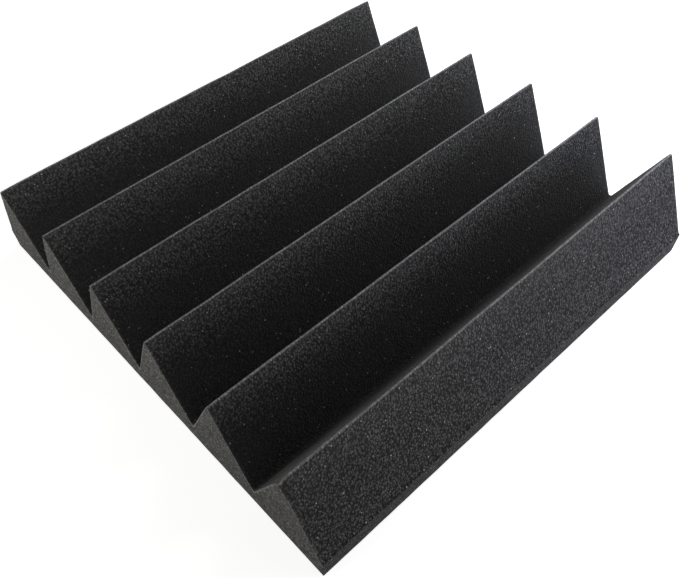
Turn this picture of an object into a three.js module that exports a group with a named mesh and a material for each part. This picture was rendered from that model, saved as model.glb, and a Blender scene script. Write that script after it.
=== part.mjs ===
// Acoustic foam panel: one square tile of charcoal open-cell foam, a flat base that carries six
// straight wedges, all cut from the same block.
//
// Millimetres, +Z up. The tile lies on its back, the face that goes against a wall or ceiling.
// X runs across the wedges, Y runs along them, and the origin is the middle of the back.

import * as THREE from "three";

// Size of the tile
const WEDGE_PITCH = 50.8; // from ridge to ridge
const WEDGE_COUNT = 6;
const TILE_LENGTH = 304.8; // along the wedges
const TILE_HEIGHT = 63.5; // from the back to the crown of a ridge
const BASE_THICKNESS = 15; // foam left under the floor of a groove

// Path of the cutting blade, which can't turn a sharp corner
const CROWN_RADIUS = 1; // over the top of a ridge
const GROOVE_RADIUS = 1.4; // at the floor of a groove
const CROWN_STEPS = 8;
const GROOVE_STEPS = 5;

// Finish of the foam
const FOAM_COLOUR = 0x2a2a2b;
const FOAM_ROUGHNESS = 0.95;
const FOAM_METALNESS = 0;

// Worked out from the sizes above
const HALF_PITCH = WEDGE_PITCH / 2;
const HALF_WIDTH = WEDGE_COUNT * HALF_PITCH;
const CROWN_CENTRE = TILE_HEIGHT - CROWN_RADIUS; // height of the centre of a crown's arc
const GROOVE_CENTRE = BASE_THICKNESS + GROOVE_RADIUS; // height of the centre of a groove's arc
const QUARTER_TURN = Math.PI / 2;

// The flank of a wedge is the straight line that touches two circles: the crown's, which lies
// under it, and the groove's, which lies over it. Its angle to the base follows from their centres.
function flankAngle() {
  const rise = CROWN_CENTRE - GROOVE_CENTRE;
  const span = Math.hypot(HALF_PITCH, rise);
  return Math.atan2(rise, HALF_PITCH) + Math.asin((CROWN_RADIUS + GROOVE_RADIUS) / span);
}

// Points along an arc, both ends included. Angles are in radians, turned from +X towards +Z.
function arcPoints(centreX, centreZ, radius, from, to, steps) {
  const points = [];
  for (let i = 0; i <= steps; i++) {
    const angle = from + ((to - from) * i) / steps;
    points.push(
      new THREE.Vector2(
        centreX + radius * Math.cos(angle),
        centreZ + radius * Math.sin(angle),
      ),
    );
  }
  return points;
}

// One wedge of the blade's path, from the floor of the groove on its left to the floor of the
// groove on its right: up out of the groove, up the flank, over the crown and down again.
function wedgePoints(ridgeX) {
  const angle = flankAngle();
  const left = ridgeX - HALF_PITCH;
  const right = ridgeX + HALF_PITCH;
  const down = -QUARTER_TURN;
  const up = QUARTER_TURN;
  return [
    ...arcPoints(left, GROOVE_CENTRE, GROOVE_RADIUS, down, down + angle, GROOVE_STEPS),
    ...arcPoints(ridgeX, CROWN_CENTRE, CROWN_RADIUS, up + angle, up - angle, CROWN_STEPS),
    ...arcPoints(right, GROOVE_CENTRE, GROOVE_RADIUS, down - angle, down, GROOVE_STEPS),
  ];
}

// The end view of the tile. The wedges follow each other from left to right, and each shares the
// floor of a groove with the next. The sides are cut square through the floor of a groove, so the
// outer wedges are whole.
function tileOutline() {
  const points = [];
  for (let i = 0; i < WEDGE_COUNT; i++) {
    const wedge = wedgePoints(-HALF_WIDTH + HALF_PITCH + i * WEDGE_PITCH);
    points.push(...(i === 0 ? wedge : wedge.slice(1)));
  }
  points.push(new THREE.Vector2(HALF_WIDTH, 0), new THREE.Vector2(-HALF_WIDTH, 0));
  return new THREE.Shape(points);
}

// The whole tile: its end view, run along the wedges from one square-cut end to the other.
function foamPanel() {
  const geometry = new THREE.ExtrudeGeometry(tileOutline(), {
    depth: TILE_LENGTH,
    steps: 1,
    bevelEnabled: false,
  });
  geometry.rotateX(QUARTER_TURN);
  geometry.translate(0, TILE_LENGTH / 2, 0);

  const foam = new THREE.MeshStandardMaterial({
    color: FOAM_COLOUR,
    roughness: FOAM_ROUGHNESS,
    metalness: FOAM_METALNESS,
  });
  const panel = new THREE.Mesh(geometry, foam);
  panel.name = "foam_panel";
  return panel;
}

const acousticFoamPanel = new THREE.Group();
acousticFoamPanel.add(foamPanel());

export default acousticFoamPanel;
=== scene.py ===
# %% [markdown]
# Acoustic foam tile
#
# The object is one square tile of charcoal polyurethane foam. A contour cutter has run a thin
# blade through a block, so a flat base carries six straight wedges with sharp grooves between
# them. Sound goes into the open cells and comes out weaker.
#
# Nearly everything that the eye reads here is light: dark foam, faint grain, a pale thread along
# each ridge and deep shade in the grooves. So the lesson is about a precise soft shape, a material
# with the right grain, and plain light.

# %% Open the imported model
import math

import bmesh
import bpy
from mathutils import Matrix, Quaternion, Vector, noise


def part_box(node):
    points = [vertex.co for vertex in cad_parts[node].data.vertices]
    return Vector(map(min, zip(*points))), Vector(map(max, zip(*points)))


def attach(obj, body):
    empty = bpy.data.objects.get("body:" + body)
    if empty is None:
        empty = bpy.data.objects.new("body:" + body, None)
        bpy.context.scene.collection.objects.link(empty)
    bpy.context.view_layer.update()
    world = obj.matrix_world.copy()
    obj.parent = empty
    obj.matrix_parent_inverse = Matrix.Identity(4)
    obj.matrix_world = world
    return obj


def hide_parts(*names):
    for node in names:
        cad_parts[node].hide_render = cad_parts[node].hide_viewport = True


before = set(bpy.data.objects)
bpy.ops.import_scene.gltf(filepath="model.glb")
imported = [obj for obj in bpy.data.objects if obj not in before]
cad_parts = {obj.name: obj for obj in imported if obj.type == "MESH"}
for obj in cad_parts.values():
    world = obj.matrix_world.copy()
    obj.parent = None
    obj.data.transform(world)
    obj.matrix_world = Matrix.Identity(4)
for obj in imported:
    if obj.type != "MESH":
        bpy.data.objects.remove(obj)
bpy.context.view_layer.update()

# %% [markdown]
# The camera
#
# The photograph was taken from close by, so the near wedges look much larger than the far ones.
# Setting the camera by eye rarely gets that right. Here its place, its small tilt and its angle of
# view were worked out from the corners, the ridges and the outline of the tile in the photograph,
# and they are written down as a walk round a point on the tile. The shift allows for a cropped
# photograph, whose middle isn't where the lens pointed.
#
# Blender measures in metres, and so does this file. Only the sensor and the lens of a camera are
# in millimetres, and a shift is a share of the picture's width.

# %% Place the camera
AIM = Vector((0.0575, -0.0670, 0.0254))
AROUND = math.radians(50.257)
ABOVE = math.radians(52.827)
TILT = math.radians(-3.333)
DISTANCE = 0.3893
SENSOR = 36.0
LENS = 36.981
SHIFT_X = 0.0297
SHIFT_Y = 0.0612
NEAREST_SEEN = 0.01

towards_camera = Vector(
    (
        math.sin(AROUND) * math.cos(ABOVE),
        -math.cos(AROUND) * math.cos(ABOVE),
        math.sin(ABOVE),
    )
)
camera_data = bpy.data.cameras.new("camera")
camera_data.sensor_width = SENSOR
camera_data.lens = LENS
camera_data.shift_x = SHIFT_X
camera_data.shift_y = SHIFT_Y
camera_data.clip_start = NEAREST_SEEN
camera = bpy.data.objects.new("camera", camera_data)
camera.location = AIM + towards_camera * DISTANCE
camera.rotation_mode = "QUATERNION"
level_view = (-towards_camera).to_track_quat("-Z", "Y")
camera.rotation_quaternion = level_view @ Quaternion((0, 0, 1), TILT)
bpy.context.scene.collection.objects.link(camera)
bpy.context.scene.camera = camera
print("camera at", [round(v, 3) for v in camera.location])

# %% [markdown]
# Sizes of the tile
#
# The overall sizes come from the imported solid, so this tile can't drift from it. The cutter's own
# sizes repeat those of the solid: the foam left under a groove, and the small radius that a blade
# leaves where it turns.

# %% Name the sizes of the tile
MM = 0.001
low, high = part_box("foam_panel")
WIDTH = high.x - low.x
LENGTH = high.y - low.y
HEIGHT = high.z - low.z
WEDGES = 6
PITCH = WIDTH / WEDGES
BASE = 15 * MM
CROWN_RADIUS = 1.0 * MM
GROOVE_RADIUS = 1.4 * MM
print("pitch of the wedges", round(PITCH / MM, 2), "mm, height", round(HEIGHT / MM, 2), "mm")

# %% [markdown]
# The zigzag
#
# A flank is the straight line that touches the round of a ridge and the round of a groove. Carried
# on past both rounds, the flanks meet in sharp corners. Those corners are easy to build, and a
# bevel turns them into rounds again.

# %% Work out the sharp zigzag
half_pitch = PITCH / 2
crown_centre = HEIGHT - CROWN_RADIUS
groove_centre = BASE + GROOVE_RADIUS
rise = crown_centre - groove_centre
flank_angle = math.atan2(rise, half_pitch) + math.asin(
    (CROWN_RADIUS + GROOVE_RADIUS) / math.hypot(half_pitch, rise)
)
sharp_ridge = crown_centre + CROWN_RADIUS / math.cos(flank_angle)
sharp_groove = groove_centre - GROOVE_RADIUS / math.cos(flank_angle)
print("flanks stand at", round(math.degrees(flank_angle), 2), "degrees to the base")

# %% [markdown]
# The folded sheet
#
# The top of the tile is one sheet folded into a zigzag. It starts as a flat grid, one strip for
# each flank, whose lines are lifted to the ridges and let down to the grooves. Blender asks for
# half the side of a grid, so a size of 0.5 gives a unit sheet, which is then stretched. The sheet
# begins half a wedge too wide at each side, as the real one does before it is trimmed. A profile
# drawn as a list of points would do as well, but here two bevels and one trim say how the thing is
# made.
#
# A bevel with a profile of 0.5 puts the middle of its round at 0.586 of the way from the corner to
# the line between its two ends. So its offset follows from how far the corner has to move.

# %% Fold the sheet and round its folds
BEVEL_DEPTH_SHARE = 2 - math.sqrt(2)
RIDGE_STEPS = 8
GROOVE_STEPS = 6
SAME_HEIGHT = 0.1 * MM
SAME_POINT = 0.001 * MM


def runs_along(edge):
    """True for an edge that runs the whole length of the wedges."""
    return abs(edge.verts[1].co.y - edge.verts[0].co.y) > LENGTH / 2


def folded_sheet():
    """A unit sheet, stretched to size, whose strips are lifted into sharp ridges."""
    strips = 2 * (WEDGES + 1)
    bm = bmesh.new()
    bmesh.ops.create_grid(bm, x_segments=strips, y_segments=1, size=0.5)
    bmesh.ops.scale(bm, vec=(strips * half_pitch, LENGTH, 1), verts=bm.verts)
    for v in bm.verts:
        line = round((v.co.x + WIDTH / 2) / half_pitch)
        v.co.z = sharp_ridge if line % 2 else sharp_groove
    return bm


def round_folds(bm, height, move, steps):
    """Bevels the folds at one height, so that the middle of each moves that far."""
    folds = [
        e
        for e in bm.edges
        if runs_along(e) and not e.is_boundary and abs(e.verts[0].co.z - height) < SAME_HEIGHT
    ]
    bmesh.ops.bevel(
        bm,
        geom=folds,
        offset=move / (BEVEL_DEPTH_SHARE * math.sin(flank_angle)),
        offset_type="OFFSET",
        segments=steps,
        profile=0.5,
        affect="EDGES",
        material=-1,
    )
    return len(folds)


def cut_plane(bm, point, normal, remove_outer=False):
    """Cuts the whole mesh by a plane, and may drop what lies on the side of its normal."""
    bmesh.ops.bisect_plane(
        bm,
        geom=bm.verts[:] + bm.edges[:] + bm.faces[:],
        dist=SAME_POINT,
        plane_co=point,
        plane_no=normal,
        clear_outer=remove_outer,
    )


foam = folded_sheet()
ridges = round_folds(foam, sharp_ridge, sharp_ridge - HEIGHT, RIDGE_STEPS)
grooves = round_folds(foam, sharp_groove, BASE - sharp_groove, GROOVE_STEPS)
for side in (-1, 1):
    cut_plane(foam, (side * WIDTH / 2, 0, 0), (side, 0, 0), remove_outer=True)
print("rounded", ridges, "ridges and", grooves, "grooves, then trimmed to", round(WIDTH / MM, 1), "mm")

# %% [markdown]
# Rows on the flanks
#
# Foam is never quite flat, and the last shaping step needs points to move. Level cuts lay rows
# across all the flanks at once. Cosine spacing puts them close together beside the rounds, where
# the shading changes fast, and far apart on the plain part of a flank.

# %% Cut rows across the flanks
FLANK_ROWS = 16


def round_end(corner, move):
    """Height at which the bevel of a fold meets the flank."""
    return corner - move / BEVEL_DEPTH_SHARE


row_top = round_end(sharp_ridge, sharp_ridge - HEIGHT)
row_bottom = round_end(sharp_groove, sharp_groove - BASE)
for i in range(1, FLANK_ROWS):
    share = (1 - math.cos(math.pi * i / FLANK_ROWS)) / 2
    cut_plane(foam, (0, 0, row_bottom + share * (row_top - row_bottom)), (0, 0, 1))
print("flanks run from", round(row_bottom / MM, 2), "to", round(row_top / MM, 2), "mm")
print("faces", len(foam.faces))

# %% [markdown]
# From sheet to solid
#
# The rim of the sheet is drawn down in steps until it lies on the wall plane, which makes the two
# zigzag ends and the two low sides. Each step squeezes the height of the rim, so the rows of an end
# face fan out from the flat back to the zigzag. Bridging the two lower end lines closes the back.

# %% Draw the rim down and close the back
RIM_STEPS = 7
LITRES_PER_CUBIC_METRE = 1000


def rim_of(bm):
    """The edges of the open border."""
    return [e for e in bm.edges if e.is_boundary]


for step in range(RIM_STEPS):
    bmesh.ops.extrude_edge_only(foam, edges=rim_of(foam))
    rim_points = list({v for e in rim_of(foam) for v in e.verts})
    steps_left = RIM_STEPS - step
    bmesh.ops.scale(foam, vec=(1, 1, (steps_left - 1) / steps_left), verts=rim_points)
end_lines = [e for e in rim_of(foam) if not runs_along(e)]
bmesh.ops.bridge_loops(foam, edges=end_lines)
bmesh.ops.remove_doubles(foam, verts=foam.verts, dist=SAME_POINT)
bmesh.ops.recalc_face_normals(foam, faces=foam.faces)
litres = foam.calc_volume() * LITRES_PER_CUBIC_METRE
print("open edges left", len(rim_of(foam)), "and volume", round(litres, 3), "litres")

# %% [markdown]
# Cut edges
#
# A knife leaves foam with crisp edges, but open cells give way along them, so each edge ends in a
# narrow soft band. One bevel of about half a millimetre round the whole outline stands for it. It
# is done while the strips are still long, because a bevel over few edges is quick and clean.

# %% Soften the cut edges
EDGE_SOFTNESS = 0.45 * MM
EDGE_STEPS = 3
SHARP_ANGLE = math.radians(50)

cut_edges = [
    e
    for e in foam.edges
    if len(e.link_faces) == 2 and e.calc_face_angle() > SHARP_ANGLE
]
bmesh.ops.bevel(
    foam,
    geom=cut_edges,
    offset=EDGE_SOFTNESS,
    offset_type="OFFSET",
    segments=EDGE_STEPS,
    profile=0.5,
    affect="EDGES",
    material=-1,
)
print("softened", len(cut_edges), "edges, faces now", len(foam.faces))

# %% [markdown]
# Lines along the wedges
#
# The strips are now cut across into short faces. Most of them are even, and a few extra cuts near
# the two ends give the tips of the ridges enough points to droop.

# %% Cut the strips into short faces
LENGTH_STEPS = 124
TIP_CUTS = (1.0 * MM, 1.8 * MM, 3.4 * MM, 4.2 * MM)

long_edges = [e for e in foam.edges if runs_along(e)]
bmesh.ops.subdivide_edges(foam, edges=long_edges, cuts=LENGTH_STEPS - 1, use_grid_fill=True)
for cut in TIP_CUTS:
    for side in (-1, 1):
        cut_plane(foam, (0, side * (LENGTH / 2 - cut), 0), (0, side, 0))
print("faces", len(foam.faces), "of which not quads", sum(len(f.verts) != 4 for f in foam.faces))

# %% [markdown]
# How soft foam sits
#
# The blade wanders a little as it pulls through the block, and thin ridges lean and droop where
# nothing holds them. A simulation would show almost nothing, because foam this light hardly sags,
# so small smooth moves do it. The first is a slow wave along each ridge that fades towards the
# base. It comes from Blender's smooth noise, which has no seed and is the same in every run, and
# each wedge reads it at a place of its own, so no two lean alike.

# %% Let the ridges wander
WANDER = 0.3 * MM
WANDER_WAVE = 45 * MM
LEAN_SPACING = 3.7
SAG_SPACING = 5.1
SAG_LAYER = 9.0


def wedge_number(x):
    """Which wedge a point belongs to, counted from the left."""
    return min(WEDGES - 1, max(0, int((x + WIDTH / 2) / PITCH)))


def wander(point):
    """Sideways and downward drift of a point on a wedge."""
    lift = max(0.0, (point.z - BASE) / (HEIGHT - BASE))
    wedge = wedge_number(point.x)
    along = point.y / WANDER_WAVE
    lean = noise.noise(Vector((along, wedge * LEAN_SPACING, 0.0)))
    sag = noise.noise(Vector((along, wedge * SAG_SPACING, SAG_LAYER)))
    return Vector((WANDER * lean * lift, 0.0, -WANDER * abs(sag) * lift * lift))


ridge_middle = Vector((half_pitch, 0, HEIGHT))
print("middle of ridge 4 moves", [round(v / MM, 2) for v in wander(ridge_middle)], "mm")

# %% [markdown]
# Uneven cuts
#
# Open cells give way unevenly under the blade, so no cut is quite flat. The same noise, read at a
# finer scale, moves each point along the direction that its surface faces. It goes from about -1 to
# 1, and half of the ripple is taken off it, so that the tile keeps to the box of its solid within
# a few hundredths of a millimetre.

# %% Let the cuts ripple
RIPPLE = 0.12 * MM
RIPPLE_WAVE = 11 * MM
RIPPLE_INWARDS = 0.5


def ripple(point, normal):
    """Fine unevenness of a cut surface along its normal, and mostly inwards."""
    amount = noise.noise(point / RIPPLE_WAVE)
    return normal * (RIPPLE * (amount - RIPPLE_INWARDS))


print("cuts move by up to", round(RIPPLE * (1 + RIPPLE_INWARDS) / MM, 2), "mm")

# %% [markdown]
# Worn tips
#
# The ends of the ridges are thin, and they are rubbed when a tile is packed and handled, so they
# are worn round. The tip nearest to the camera is worn the most. The wear grows with the third
# power towards the end, which keeps it close to the very tip.

# %% Wear the tips
TIP_REACH = 9 * MM
TIP_DROP = 0.2 * MM
FRONT_TIP_DROP = 3.0 * MM
TIP_ROUNDING = 3


def tip_wear(point):
    """How far the end of a ridge has worn down at a point."""
    from_end = LENGTH / 2 - abs(point.y)
    from_crown = HEIGHT - point.z
    if from_end > TIP_REACH or from_crown > TIP_REACH:
        return 0.0
    front = point.y < 0 and wedge_number(point.x) == WEDGES - 1
    drop = FRONT_TIP_DROP if front else TIP_DROP
    return drop * (1 - from_end / TIP_REACH) ** TIP_ROUNDING * (1 - from_crown / TIP_REACH)


nearest_tip = Vector((WIDTH / 2 - half_pitch, -LENGTH / 2, HEIGHT))
print("nearest tip drops by", round(tip_wear(nearest_tip) / MM, 2), "mm")

# %% [markdown]
# Moving the points
#
# All the moves are worked out on the shape as it was cut, and only then is any point moved, so no
# move depends on another. The back stays flat, as the solid's is.

# %% Move the points
foam.normal_update()
moves = []
for v in foam.verts:
    on_back = v.co.z < SAME_HEIGHT
    move = Vector((0, 0, 0)) if on_back else wander(v.co) + ripple(v.co, v.normal)
    move.z -= tip_wear(v.co)
    moves.append(move)
for v, move in zip(foam.verts, moves):
    v.co += move
print("largest move", round(max(m.length for m in moves) / MM, 2), "mm")

# %% [markdown]
# A finished piece
#
# The mesh becomes an object at the origin, unturned and unscaled, so a pattern in its material stays
# where it was drawn. It stands in for the plain solid of the imported model, which is hidden, and rides
# on the same body. Foam is soft, but it keeps the shape that it was cut to.

# %% Make the tile a finished piece
bmesh.ops.recalc_face_normals(foam, faces=foam.faces)
foam_mesh = bpy.data.meshes.new("foam_tile")
foam.to_mesh(foam_mesh)
foam.free()
foam_mesh.shade_smooth()
foam_tile = bpy.data.objects.new("foam_tile", foam_mesh)
bpy.context.scene.collection.objects.link(foam_tile)
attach(foam_tile, "root")
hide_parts("foam_panel")
print("triangles", sum(len(p.vertices) - 2 for p in foam_mesh.polygons))

# %% [markdown]
# Building materials
#
# A material is a small graph of nodes. One helper adds a node, gives it its settings, and fills its
# inputs with numbers or with links from other nodes. Colours are written as they are seen, in sRGB
# hex, and one function turns them to the linear values that the renderer works with.
#
# Inputs are named where their names are clear. A Mix node has one set of inputs for colours and
# another for plain numbers under the same names, so those go by their place in the node.

# %% Helpers for materials
MIX_FACTOR = 0
MIX_A = 6
MIX_B = 7
MIX_RESULT = 2
MIX_NUMBER_A = 2
MIX_NUMBER_B = 3


def colour(hex_value):
    """An sRGB hex colour as linear red, green, blue and alpha."""
    levels = [int(hex_value[i : i + 2], 16) / 255 for i in (1, 3, 5)]
    linear = [v / 12.92 if v <= 0.04045 else ((v + 0.055) / 1.055) ** 2.4 for v in levels]
    return (*linear, 1.0)


def add_node(tree, kind, inputs=None, **settings):
    """Adds a node, gives it its settings, and fills its inputs with values or links."""
    node = tree.nodes.new(kind)
    for name, value in settings.items():
        setattr(node, name, value)
    for key, value in (inputs or {}).items():
        if isinstance(value, bpy.types.NodeSocket):
            tree.links.new(value, node.inputs[key])
        else:
            node.inputs[key].default_value = value
    return node


print("charcoal in linear light", [round(v, 3) for v in colour("#3a3a3b")[:3]])

# %% [markdown]
# Charcoal open-cell polyurethane foam
#
# The material is flexible polyurethane foam, blown with gas until its bubbles burst into one another,
# dyed charcoal and cut with a blade. A cut shows open pores with thin struts round them, and small solid
# knots where struts meet. The knots catch the light, the pores swallow it, and here and there a leftover
# film of plastic glints, which is painted in as a highlight.
#
# Cells like these are a solid Voronoi pattern. The surface cuts through it as the blade cut through
# the real one, so no unwrapping is needed and the pattern runs round every corner. Real cells are
# about 1 mm across. They are drawn at 1.3 mm, because finer ones would melt into an even grey at
# this image size.
#
# Plain Voronoi cells look too even, so a slow noise pushes their places about first. That noise
# mostly stays within a quarter of its middle, so a full push of 1.2 mm moves a cell by 0.3 mm.

# %% Draw the cells
CELL = 1.3 * MM
CELL_PUSH = 1.2 * MM
PUSH_WAVE = 2 * CELL
PUSH_DETAIL = 2.0
NOISE_MIDDLE = 0.5

foam_material = bpy.data.materials.new("open_cell_polyurethane_foam")
foam_material.use_nodes = True
tree = foam_material.node_tree
tree.nodes.clear()
place = add_node(tree, "ShaderNodeTexCoord")

wobble = add_node(
    tree,
    "ShaderNodeTexNoise",
    {"Vector": place.outputs["Object"], "Scale": 1 / PUSH_WAVE, "Detail": PUSH_DETAIL},
)
centred = add_node(
    tree,
    "ShaderNodeVectorMath",
    {0: wobble.outputs["Color"], 1: (NOISE_MIDDLE, NOISE_MIDDLE, NOISE_MIDDLE)},
    operation="SUBTRACT",
)
pushed = add_node(
    tree,
    "ShaderNodeVectorMath",
    {
        0: centred.outputs[0],
        1: (CELL_PUSH, CELL_PUSH, CELL_PUSH),
        2: place.outputs["Object"],
    },
    operation="MULTIPLY_ADD",
)
cell = add_node(
    tree,
    "ShaderNodeTexVoronoi",
    {"Vector": pushed.outputs[0], "Scale": 1 / CELL},
    feature="F1",
)
wall = add_node(
    tree,
    "ShaderNodeTexVoronoi",
    {"Vector": pushed.outputs[0], "Scale": 1 / CELL},
    feature="DISTANCE_TO_EDGE",
)
chance = add_node(tree, "ShaderNodeSeparateColor", {"Color": cell.outputs["Color"]})
print("cells across the tile", round(WIDTH / CELL))

# %% [markdown]
# Knots and struts
#
# Each cell of the pattern gets one knot, with a brightness of its own, because real knots are cut
# at all heights. A faint web of struts runs between them. The result is a mask from 0 in a pore to
# 1 on a knot, which colours the foam and lifts its relief. The Voronoi nodes measure in cells, so
# an edge at 0.76 lies 1 mm from the middle of a knot.

# %% Draw the knots and struts
KNOT_EDGE = 0.76
KNOT_CORE = 0.25
STRUT_REACH = 0.12
STRUT_SHARE = 0.12
DIMMEST_KNOT_SHARE = 0.25

knot = add_node(
    tree,
    "ShaderNodeMapRange",
    {"Value": cell.outputs["Distance"], "From Min": KNOT_EDGE, "From Max": KNOT_CORE},
    interpolation_type="SMOOTHSTEP",
)
knot_level = add_node(
    tree,
    "ShaderNodeMapRange",
    {"Value": chance.outputs["Red"], "To Min": DIMMEST_KNOT_SHARE, "To Max": 1.0},
)
lit_knot = add_node(
    tree,
    "ShaderNodeMath",
    {0: knot.outputs[0], 1: knot_level.outputs[0]},
    operation="MULTIPLY",
)
strut = add_node(
    tree,
    "ShaderNodeMapRange",
    {
        "Value": wall.outputs["Distance"],
        "From Min": STRUT_REACH,
        "From Max": 0.0,
        "To Max": STRUT_SHARE,
    },
    interpolation_type="SMOOTHSTEP",
)
solid = add_node(
    tree,
    "ShaderNodeMath",
    {0: lit_knot.outputs[0], 1: strut.outputs[0]},
    operation="MAXIMUM",
)
print("nodes so far", len(tree.nodes))

# %% [markdown]
# Grain in the grooves
#
# Deep in a groove the light comes from all sides at once, so a knot hardly differs from the pore
# beside it and the grain melts into an even black. The slopes of a simple relief don't show that
# well enough, so there the mask is drawn towards its own mean. That begins at one depth under the
# ridge and is full at another. The two outer flanks have no groove beside them, and keep their
# grain down to the base.

# %% Calm the grain in the grooves
CALM_FROM = 7 * MM
CALM_TO = 25 * MM
DEEP_GRAIN_SHARE = 0.28
MEAN_SOLID_SHARE = 0.25

where = add_node(tree, "ShaderNodeSeparateXYZ", {"Vector": place.outputs["Object"]})
near_crown = add_node(
    tree,
    "ShaderNodeMapRange",
    {
        "Value": where.outputs["Z"],
        "From Min": HEIGHT - CALM_TO,
        "From Max": HEIGHT - CALM_FROM,
        "To Min": DEEP_GRAIN_SHARE,
        "To Max": 1.0,
    },
    interpolation_type="SMOOTHSTEP",
)
across = add_node(tree, "ShaderNodeMath", {0: where.outputs["X"]}, operation="ABSOLUTE")
outer_flank = add_node(
    tree,
    "ShaderNodeMath",
    {0: across.outputs[0], 1: WIDTH / 2 - half_pitch},
    operation="GREATER_THAN",
)
grain = add_node(
    tree,
    "ShaderNodeMath",
    {0: near_crown.outputs[0], 1: outer_flank.outputs[0]},
    operation="MAXIMUM",
)
shown_solid = add_node(
    tree,
    "ShaderNodeMix",
    {
        MIX_FACTOR: grain.outputs[0],
        MIX_NUMBER_A: MEAN_SOLID_SHARE,
        MIX_NUMBER_B: solid.outputs[0],
    },
    data_type="FLOAT",
)
print("nodes so far", len(tree.nodes))

# %% [markdown]
# Two kinds of cut
#
# The flanks were cut by the contour blade, which leaves the cells open. The ends and the two low
# sides were sawn square, which smears the cells: their grain is softer and a little paler, on the
# ends more than on the sides. Which cut a point lies on follows from the direction that its surface
# faces, so the two kinds meet exactly at the soft edge. A flank leans, and only a sawn side faces
# straight sideways. The limits below are on one part of that direction, which is 1 for a surface
# that faces straight along the tile or straight across it.

# %% Tell the two kinds of cut apart
END_FROM = 0.55
END_FULL = 0.9
SIDE_FROM = 0.93
SIDE_FULL = 0.98
SIDE_CUT_SHARE = 0.15

facing = add_node(tree, "ShaderNodeSeparateXYZ", {"Vector": place.outputs["Normal"]})
facing_end = add_node(tree, "ShaderNodeMath", {0: facing.outputs["Y"]}, operation="ABSOLUTE")
end_cut = add_node(
    tree,
    "ShaderNodeMapRange",
    {"Value": facing_end.outputs[0], "From Min": END_FROM, "From Max": END_FULL},
    interpolation_type="SMOOTHSTEP",
)
facing_side = add_node(tree, "ShaderNodeMath", {0: facing.outputs["X"]}, operation="ABSOLUTE")
side_cut = add_node(
    tree,
    "ShaderNodeMapRange",
    {
        "Value": facing_side.outputs[0],
        "From Min": SIDE_FROM,
        "From Max": SIDE_FULL,
        "To Max": SIDE_CUT_SHARE,
    },
    interpolation_type="SMOOTHSTEP",
)
sawn = add_node(
    tree,
    "ShaderNodeMath",
    {0: end_cut.outputs[0], 1: side_cut.outputs[0]},
    operation="MAXIMUM",
)
print("nodes so far", len(tree.nodes))

# %% [markdown]
# The tones of the cuts
#
# Both cuts show the same dyed foam, so each runs from the tone of a pore to the tone of a knot as
# the mask says. Sawn foam is a little paler in both.

# %% Colour the two kinds of cut
PORE = colour("#0e0e0f")
KNOT = colour("#666665")
SAWN_PORE = colour("#111110")
SAWN_KNOT = colour("#6e6e6d")

blade_tone = add_node(
    tree,
    "ShaderNodeMix",
    {MIX_FACTOR: shown_solid.outputs[0], MIX_A: PORE, MIX_B: KNOT},
    data_type="RGBA",
)
sawn_tone = add_node(
    tree,
    "ShaderNodeMix",
    {MIX_FACTOR: solid.outputs[0], MIX_A: SAWN_PORE, MIX_B: SAWN_KNOT},
    data_type="RGBA",
)
cut_tone = add_node(
    tree,
    "ShaderNodeMix",
    {
        MIX_FACTOR: sawn.outputs[0],
        MIX_A: blade_tone.outputs[MIX_RESULT],
        MIX_B: sawn_tone.outputs[MIX_RESULT],
    },
    data_type="RGBA",
)
print("nodes so far", len(tree.nodes))

# %% [markdown]
# Fuzz on the edges, painted as highlights
#
# Along a ridge or a cut edge the struts stand free, and they catch light from every side. The eye sees a
# pale thread about a millimetre wide. That paleness is painted into the colour as a highlight. On a crown
# the painted highlight lies where the round faces up, which also follows a tip that droops. Its limits
# are on the upward part of the direction.
#
# A wedge also grows paler towards its ridge, where it is so thin that light comes through it. A little of
# the same tone, growing over its upper 20 mm, is painted in for that light at no cost.

# %% Find the painted highlights on the crowns and the glow of the thin foam
THREAD_EDGE = 0.52
THREAD_CORE = 0.94
CROWN_HIGHLIGHT_SHARE = 0.92
THIN_FOAM = 20 * MM
THIN_FOAM_GLOW_SHARE = 0.08

facing_up = add_node(
    tree,
    "ShaderNodeMapRange",
    {
        "Value": facing.outputs["Z"],
        "From Min": THREAD_EDGE,
        "From Max": THREAD_CORE,
        "To Max": CROWN_HIGHLIGHT_SHARE,
    },
    interpolation_type="SMOOTHSTEP",
)
above_grooves = add_node(
    tree,
    "ShaderNodeMath",
    {0: where.outputs["Z"], 1: (BASE + HEIGHT) / 2},
    operation="GREATER_THAN",
)
# Painted highlight: the crown is paler where its round faces up.
crown_highlight_thread = add_node(
    tree,
    "ShaderNodeMath",
    {0: facing_up.outputs[0], 1: above_grooves.outputs[0]},
    operation="MULTIPLY",
)
# Painted light: paler towards the ridge, for light that comes through the thin foam.
thin_foam_glow = add_node(
    tree,
    "ShaderNodeMapRange",
    {
        "Value": where.outputs["Z"],
        "From Min": HEIGHT - THIN_FOAM,
        "From Max": HEIGHT,
        "To Max": THIN_FOAM_GLOW_SHARE,
    },
)
crown_highlight_and_glow = add_node(
    tree,
    "ShaderNodeMath",
    {0: crown_highlight_thread.outputs[0], 1: thin_foam_glow.outputs[0]},
    operation="MAXIMUM",
)
print("nodes so far", len(tree.nodes))

# %% [markdown]
# Fuzz and painted light at the sawn ends
#
# On a flank the fuzz, painted as a pale highlight, depends on the distance to the sawn end. On the end
# itself it depends on how deep a point lies under the zigzag, which a ping-pong of its place across the
# tile gives, because that goes up and down as the wedges do. The cosine of the flank turns the width of
# the fuzz, which is measured square to the edge, into that depth. The end also grows paler all the way up
# from the base, as the wedges do towards their ridges, and that is painted light too.

# %% Find the sawn edges
END_FUZZ = 1.8 * MM
END_HIGHLIGHT_SHARE = 0.15
RIM_FUZZ = 1.3 * MM
RIM_HIGHLIGHT_SHARE = 0.45
END_GLOW_SHARE = 0.07

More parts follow.
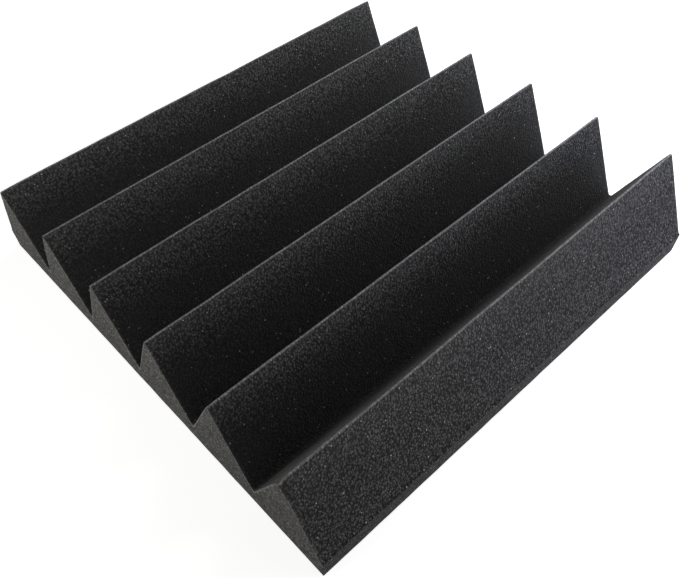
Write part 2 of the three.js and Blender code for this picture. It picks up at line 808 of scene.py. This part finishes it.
along = add_node(tree, "ShaderNodeMath", {0: where.outputs["Y"]}, operation="ABSOLUTE")
# Painted highlight on a flank, close to the sawn end.
end_edge_highlight = add_node(
    tree,
    "ShaderNodeMapRange",
    {
        "Value": along.outputs[0],
        "From Min": LENGTH / 2 - END_FUZZ,
        "From Max": LENGTH / 2,
        "To Max": END_HIGHLIGHT_SHARE,
    },
    interpolation_type="SMOOTHSTEP",
)
from_side = add_node(tree, "ShaderNodeMath", {0: where.outputs["X"], 1: WIDTH / 2}, operation="ADD")
from_groove = add_node(
    tree,
    "ShaderNodeMath",
    {0: from_side.outputs[0], 1: half_pitch},
    operation="PINGPONG",
)
zigzag_height = add_node(
    tree,
    "ShaderNodeMath",
    {0: from_groove.outputs[0], 1: math.tan(flank_angle), 2: sharp_groove},
    operation="MULTIPLY_ADD",
)
under_zigzag = add_node(
    tree,
    "ShaderNodeMath",
    {0: zigzag_height.outputs[0], 1: where.outputs["Z"]},
    operation="SUBTRACT",
)
# Painted highlight along the zigzag edge of the sawn end.
rim_highlight = add_node(
    tree,
    "ShaderNodeMapRange",
    {
        "Value": under_zigzag.outputs[0],
        "From Min": RIM_FUZZ / math.cos(flank_angle),
        "From Max": 0.0,
        "To Max": RIM_HIGHLIGHT_SHARE,
    },
    interpolation_type="SMOOTHSTEP",
)
# Painted light: the sawn end grows paler towards the top.
end_glow_upwards = add_node(
    tree,
    "ShaderNodeMapRange",
    {
        "Value": where.outputs["Z"],
        "From Min": BASE,
        "From Max": HEIGHT,
        "To Max": END_GLOW_SHARE,
    },
)
end_highlight_and_glow = add_node(
    tree,
    "ShaderNodeMath",
    {0: rim_highlight.outputs[0], 1: end_glow_upwards.outputs[0]},
    operation="MAXIMUM",
)
edge_highlight_and_glow = add_node(
    tree,
    "ShaderNodeMix",
    {
        MIX_FACTOR: end_cut.outputs[0],
        MIX_NUMBER_A: end_edge_highlight.outputs[0],
        MIX_NUMBER_B: end_highlight_and_glow.outputs[0],
    },
    data_type="FLOAT",
)
print("nodes so far", len(tree.nodes))

# %% [markdown]
# Broken fuzz highlight
#
# The fuzz and its painted highlight aren't an even line. They are full where the mask shows a bright
# knot, and thinner over a pore, so the mask of the cells breaks them up before the painted highlight is
# laid over the foam.

# %% Lay the painted highlight over the foam
# The pale tone of every painted highlight and glow on the ridges and edges.
FUZZ_HIGHLIGHT_TONE = colour("#b0b0ae")
FULL_FUZZ_SOLID_SHARE = 0.5
BROKEN_FUZZ_SHARE = 0.6

fuzz_highlight_and_glow = add_node(
    tree,
    "ShaderNodeMath",
    {0: crown_highlight_and_glow.outputs[0], 1: edge_highlight_and_glow.outputs[0]},
    operation="MAXIMUM",
)
fibres = add_node(
    tree,
    "ShaderNodeMapRange",
    {
        "Value": solid.outputs[0],
        "From Max": FULL_FUZZ_SOLID_SHARE,
        "To Min": BROKEN_FUZZ_SHARE,
        "To Max": 1.0,
    },
)
broken_fuzz_highlight = add_node(
    tree,
    "ShaderNodeMath",
    {0: fuzz_highlight_and_glow.outputs[0], 1: fibres.outputs[0]},
    operation="MULTIPLY",
)
# Here the painted highlight is mixed into the colour of the foam.
tone_with_fuzz_highlight = add_node(
    tree,
    "ShaderNodeMix",
    {MIX_FACTOR: broken_fuzz_highlight.outputs[0], MIX_A: cut_tone.outputs[MIX_RESULT], MIX_B: FUZZ_HIGHLIGHT_TONE},
    data_type="RGBA",
)
print("nodes so far", len(tree.nodes))

# %% [markdown]
# Painted glints
#
# Here and there a cell kept a film that lies flat to the eye and flashes. The flash is painted as a pale
# spot in the colour, a painted highlight that shows under any lamp. A threshold on the cell's own random
# number picks two cells in a hundred, and only those whose middle the cut meets show one, as a spot much
# smaller than a knot.

# %% Scatter the painted glints
# Pale tone of the painted glints.
PAINTED_GLINT = colour("#d8d8d8")
GLINT_SHARE = 0.02
GLINT_EDGE = 0.34
GLINT_CORE = 0.1

rare = add_node(
    tree,
    "ShaderNodeMath",
    {0: chance.outputs["Green"], 1: 1 - GLINT_SHARE},
    operation="GREATER_THAN",
)
glint_spot = add_node(
    tree,
    "ShaderNodeMapRange",
    {"Value": cell.outputs["Distance"], "From Min": GLINT_EDGE, "From Max": GLINT_CORE},
    interpolation_type="SMOOTHSTEP",
)
painted_glint = add_node(
    tree,
    "ShaderNodeMath",
    {0: rare.outputs[0], 1: glint_spot.outputs[0]},
    operation="MULTIPLY",
)
# The painted glints are mixed into the colour here.
foam_tone = add_node(
    tree,
    "ShaderNodeMix",
    {MIX_FACTOR: painted_glint.outputs[0], MIX_A: tone_with_fuzz_highlight.outputs[MIX_RESULT], MIX_B: PAINTED_GLINT},
    data_type="RGBA",
)
print("nodes so far", len(tree.nodes))

# %% [markdown]
# Relief and finish
#
# The same mask gives the surface its relief, so light from the side models every pore. A finer
# grain on top would only darken the foam, because slopes smaller than a pixel average out. Foam has
# no gloss to speak of: its roughness is near 1, and its reflection is kept below that of solid
# plastic, because most of it is lost between the struts. What is left lies as a thin even veil over
# the shade, and keeps the grooves from going quite black.

# %% Give the foam its relief and finish
RELIEF = 0.7 * MM
BLADE_RELIEF_SHARE = 1.0
SAWN_RELIEF_SHARE = 0.55
FOAM_ROUGHNESS = 0.95
FOAM_SPECULAR = 0.2
FOAM_IOR = 1.5

relief_strength = add_node(
    tree,
    "ShaderNodeMapRange",
    {"Value": sawn.outputs[0], "To Min": BLADE_RELIEF_SHARE, "To Max": SAWN_RELIEF_SHARE},
)
relief = add_node(
    tree,
    "ShaderNodeBump",
    {
        "Height": solid.outputs[0],
        "Strength": relief_strength.outputs[0],
        "Distance": RELIEF,
    },
)
shader = add_node(
    tree,
    "ShaderNodeBsdfPrincipled",
    {
        "Base Color": foam_tone.outputs[MIX_RESULT],
        "Roughness": FOAM_ROUGHNESS,
        "IOR": FOAM_IOR,
        "Specular IOR Level": FOAM_SPECULAR,
        "Normal": relief.outputs["Normal"],
    },
)
add_node(tree, "ShaderNodeOutputMaterial", {"Surface": shader.outputs["BSDF"]})
foam_mesh.materials.append(foam_material)
print("foam material has", len(tree.nodes), "nodes")

# %% [markdown]
# The table
#
# The photograph shows the tile on plain white. A pale matt floor gives the tile a soft shadow to
# stand in. It lies a hair below the tile, so that the two faces don't fight over the same place.

# %% Lay the floor
FLOOR_SIZE = 6.0
FLOOR_GAP = 0.3 * MM

floor_bm = bmesh.new()
bmesh.ops.create_grid(floor_bm, x_segments=1, y_segments=1, size=FLOOR_SIZE / 2)
bmesh.ops.translate(floor_bm, vec=(0, 0, -FLOOR_GAP), verts=floor_bm.verts)
floor_mesh = bpy.data.meshes.new("floor")
floor_bm.to_mesh(floor_mesh)
floor_bm.free()
floor = bpy.data.objects.new("floor", floor_mesh)
bpy.context.scene.collection.objects.link(floor)
print("floor lies", FLOOR_GAP / MM, "mm under the tile")

# %% [markdown]
# A floor that looks white
#
# In light this low even a pale floor would look grey. So it gives out light of its own, enough to
# read as white outside the shadow, but only to rays that come from the camera, off a gloss or
# through glass. The foam shows that light only in its faint gloss. Away from the tile, where the
# lamps no longer reach, it grows to full white, which is 1, so the floor melts into the backdrop.
# The two distances are measured from the middle of the tile.

# %% Paint the floor
FLOOR_TONE = colour("#e6e6e6")
WHITE = colour("#ffffff")
FLOOR_LIFT = 0.82
LIFT_GROWS_FROM = 0.35
LIFT_IS_FULL_AT = 0.95


def background_rays(tree):
    """An output that is 1 for rays from the camera, a gloss or glass, and 0 for matt surfaces."""
    rays = add_node(tree, "ShaderNodeLightPath")
    seen = add_node(
        tree,
        "ShaderNodeMath",
        {0: rays.outputs["Is Camera Ray"], 1: rays.outputs["Is Glossy Ray"]},
        operation="MAXIMUM",
    )
    seen_or_through = add_node(
        tree,
        "ShaderNodeMath",
        {0: seen.outputs[0], 1: rays.outputs["Is Transmission Ray"]},
        operation="MAXIMUM",
    )
    return seen_or_through.outputs[0]


floor_material = bpy.data.materials.new("pale_matt_table")
floor_material.use_nodes = True
floor_tree = floor_material.node_tree
floor_tree.nodes.clear()
matt = add_node(floor_tree, "ShaderNodeBsdfDiffuse", {"Color": FLOOR_TONE})
floor_place = add_node(floor_tree, "ShaderNodeTexCoord")
from_tile = add_node(
    floor_tree,
    "ShaderNodeVectorMath",
    {0: floor_place.outputs["Object"]},
    operation="LENGTH",
)
growing = add_node(
    floor_tree,
    "ShaderNodeMapRange",
    {
        "Value": from_tile.outputs["Value"],
        "From Min": LIFT_GROWS_FROM,
        "From Max": LIFT_IS_FULL_AT,
        "To Min": FLOOR_LIFT,
        "To Max": 1.0,
    },
    interpolation_type="SMOOTHSTEP",
)
lift = add_node(
    floor_tree,
    "ShaderNodeMath",
    {0: background_rays(floor_tree), 1: growing.outputs[0]},
    operation="MULTIPLY",
)
glow = add_node(
    floor_tree,
    "ShaderNodeEmission",
    {"Color": WHITE, "Strength": lift.outputs[0]},
)
together = add_node(
    floor_tree,
    "ShaderNodeAddShader",
    {0: matt.outputs[0], 1: glow.outputs[0]},
)
add_node(floor_tree, "ShaderNodeOutputMaterial", {"Surface": together.outputs[0]})
floor_mesh.materials.append(floor_material)
print("floor material has", len(floor_tree.nodes), "nodes")

# %% [markdown]
# The light
#
# Wedge foam shows its shape best in low light that rakes across it: the ridges catch it and the
# grooves fall into shade. So soft lamps stand round the tile as the windows and pale walls of a
# room would. One is in front of the near end. Two are close by at the right, and the one nearer to
# the far corner is cooler. A wide one stands farther off behind that corner, and one hangs higher
# up behind the far end.
#
# A lamp is placed by two angles in degrees, one round the tile from its near end and one up from
# the floor, and by its distance. Its level says how much of full light it gives to a surface that
# faces it, and full light takes as many watts as the square of pi times the distance. Where the
# levels on a surface add up to about 1, a colour renders about as it is written.

# %% Hang the lights
LAMP_AIM = Vector((0, 0, HEIGHT / 2))


def soft_lamp(name, around, above, away, wide, tall, level, tint):
    """A soft lamp that faces the tile, at two angles and a distance from it."""
    turn = math.radians(around)
    rise = math.radians(above)
    direction = Vector(
        (
            math.sin(turn) * math.cos(rise),
            -math.cos(turn) * math.cos(rise),
            math.sin(rise),
        )
    )
    data = bpy.data.lights.new(name, "AREA")
    data.shape = "RECTANGLE"
    data.size = wide
    data.size_y = tall
    data.energy = level * (math.pi * away) ** 2
    data.color = colour(tint)[:3]
    lamp = bpy.data.objects.new(name, data)
    lamp.location = LAMP_AIM + direction * away
    lamp.rotation_mode = "QUATERNION"
    lamp.rotation_quaternion = (-direction).to_track_quat("-Z", "Y")
    lamp.visible_camera = False
    bpy.context.scene.collection.objects.link(lamp)


soft_lamp("front_lamp", around=-10, above=7, away=0.6, wide=0.3, tall=0.15, level=0.41, tint="#fffcf4")
soft_lamp("right_lamp", around=110, above=6, away=0.5, wide=0.35, tall=0.08, level=0.21, tint="#fff5e6")
soft_lamp("corner_lamp", around=125, above=7, away=0.45, wide=0.25, tall=0.08, level=0.15, tint="#a9baff")
soft_lamp("far_window", around=145, above=12, away=1.0, wide=0.9, tall=0.2, level=0.25, tint="#ffffff")
soft_lamp("back_lamp", around=180, above=30, away=0.5, wide=0.5, tall=0.3, level=0.71, tint="#f8faff")

# %% [markdown]
# The room
#
# The room is white to look at and in a gloss, but it gives matt surfaces hardly any light, so that
# the grooves stay deep. The Standard view shows colours as they were worked out, with no film-like
# curve on top.

# %% Fill the room
ROOM_LEVEL = 0.05

world = bpy.data.worlds.new("pale_room")
bpy.context.scene.world = world
world.use_nodes = True
room = world.node_tree
room.nodes.clear()
room_strength = add_node(
    room,
    "ShaderNodeMapRange",
    {"Value": background_rays(room), "To Min": ROOM_LEVEL, "To Max": 1.0},
)
backdrop = add_node(
    room,
    "ShaderNodeBackground",
    {"Color": WHITE, "Strength": room_strength.outputs[0]},
)
add_node(room, "ShaderNodeOutputWorld", {"Surface": backdrop.outputs[0]})
bpy.context.scene.view_settings.view_transform = "Standard"
print("room fills the shade at", ROOM_LEVEL)
